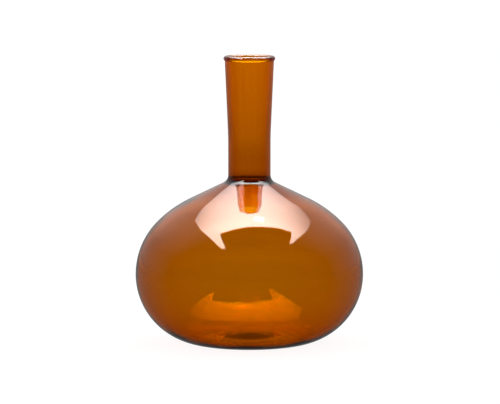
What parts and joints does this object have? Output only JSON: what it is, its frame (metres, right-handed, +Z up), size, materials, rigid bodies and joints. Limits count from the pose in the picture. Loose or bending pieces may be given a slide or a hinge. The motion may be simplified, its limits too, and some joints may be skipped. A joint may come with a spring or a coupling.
{
  "type": "glass bud vase",
  "caption": "Amber glass bud vase: wide flattened bulb, sloping shoulder, tall narrow neck flaring to a rounded rim, pushed-up base. Holds water and a few cut stems upright.",
  "frame": {"origin": "centre of the ring that the vase rests on, in the plane of the table", "axes": "+Z up along the vase's axis, out of the mouth; X and Y are level and free to choose, because every piece is turned about Z"},
  "size_m": [0.182, 0.182, 0.2306],
  "materials": {
    "amber_glass": "clear fire-polished glass, amber all through"
  },
  "bodies": {
    "root": {"bulb": "amber_glass", "neck_seal": "amber_glass", "neck_tube": "amber_glass", "rim_bead": "amber_glass", "base_punt": "amber_glass", "pontil_button": "amber_glass"}
  },
  "joints": []
}
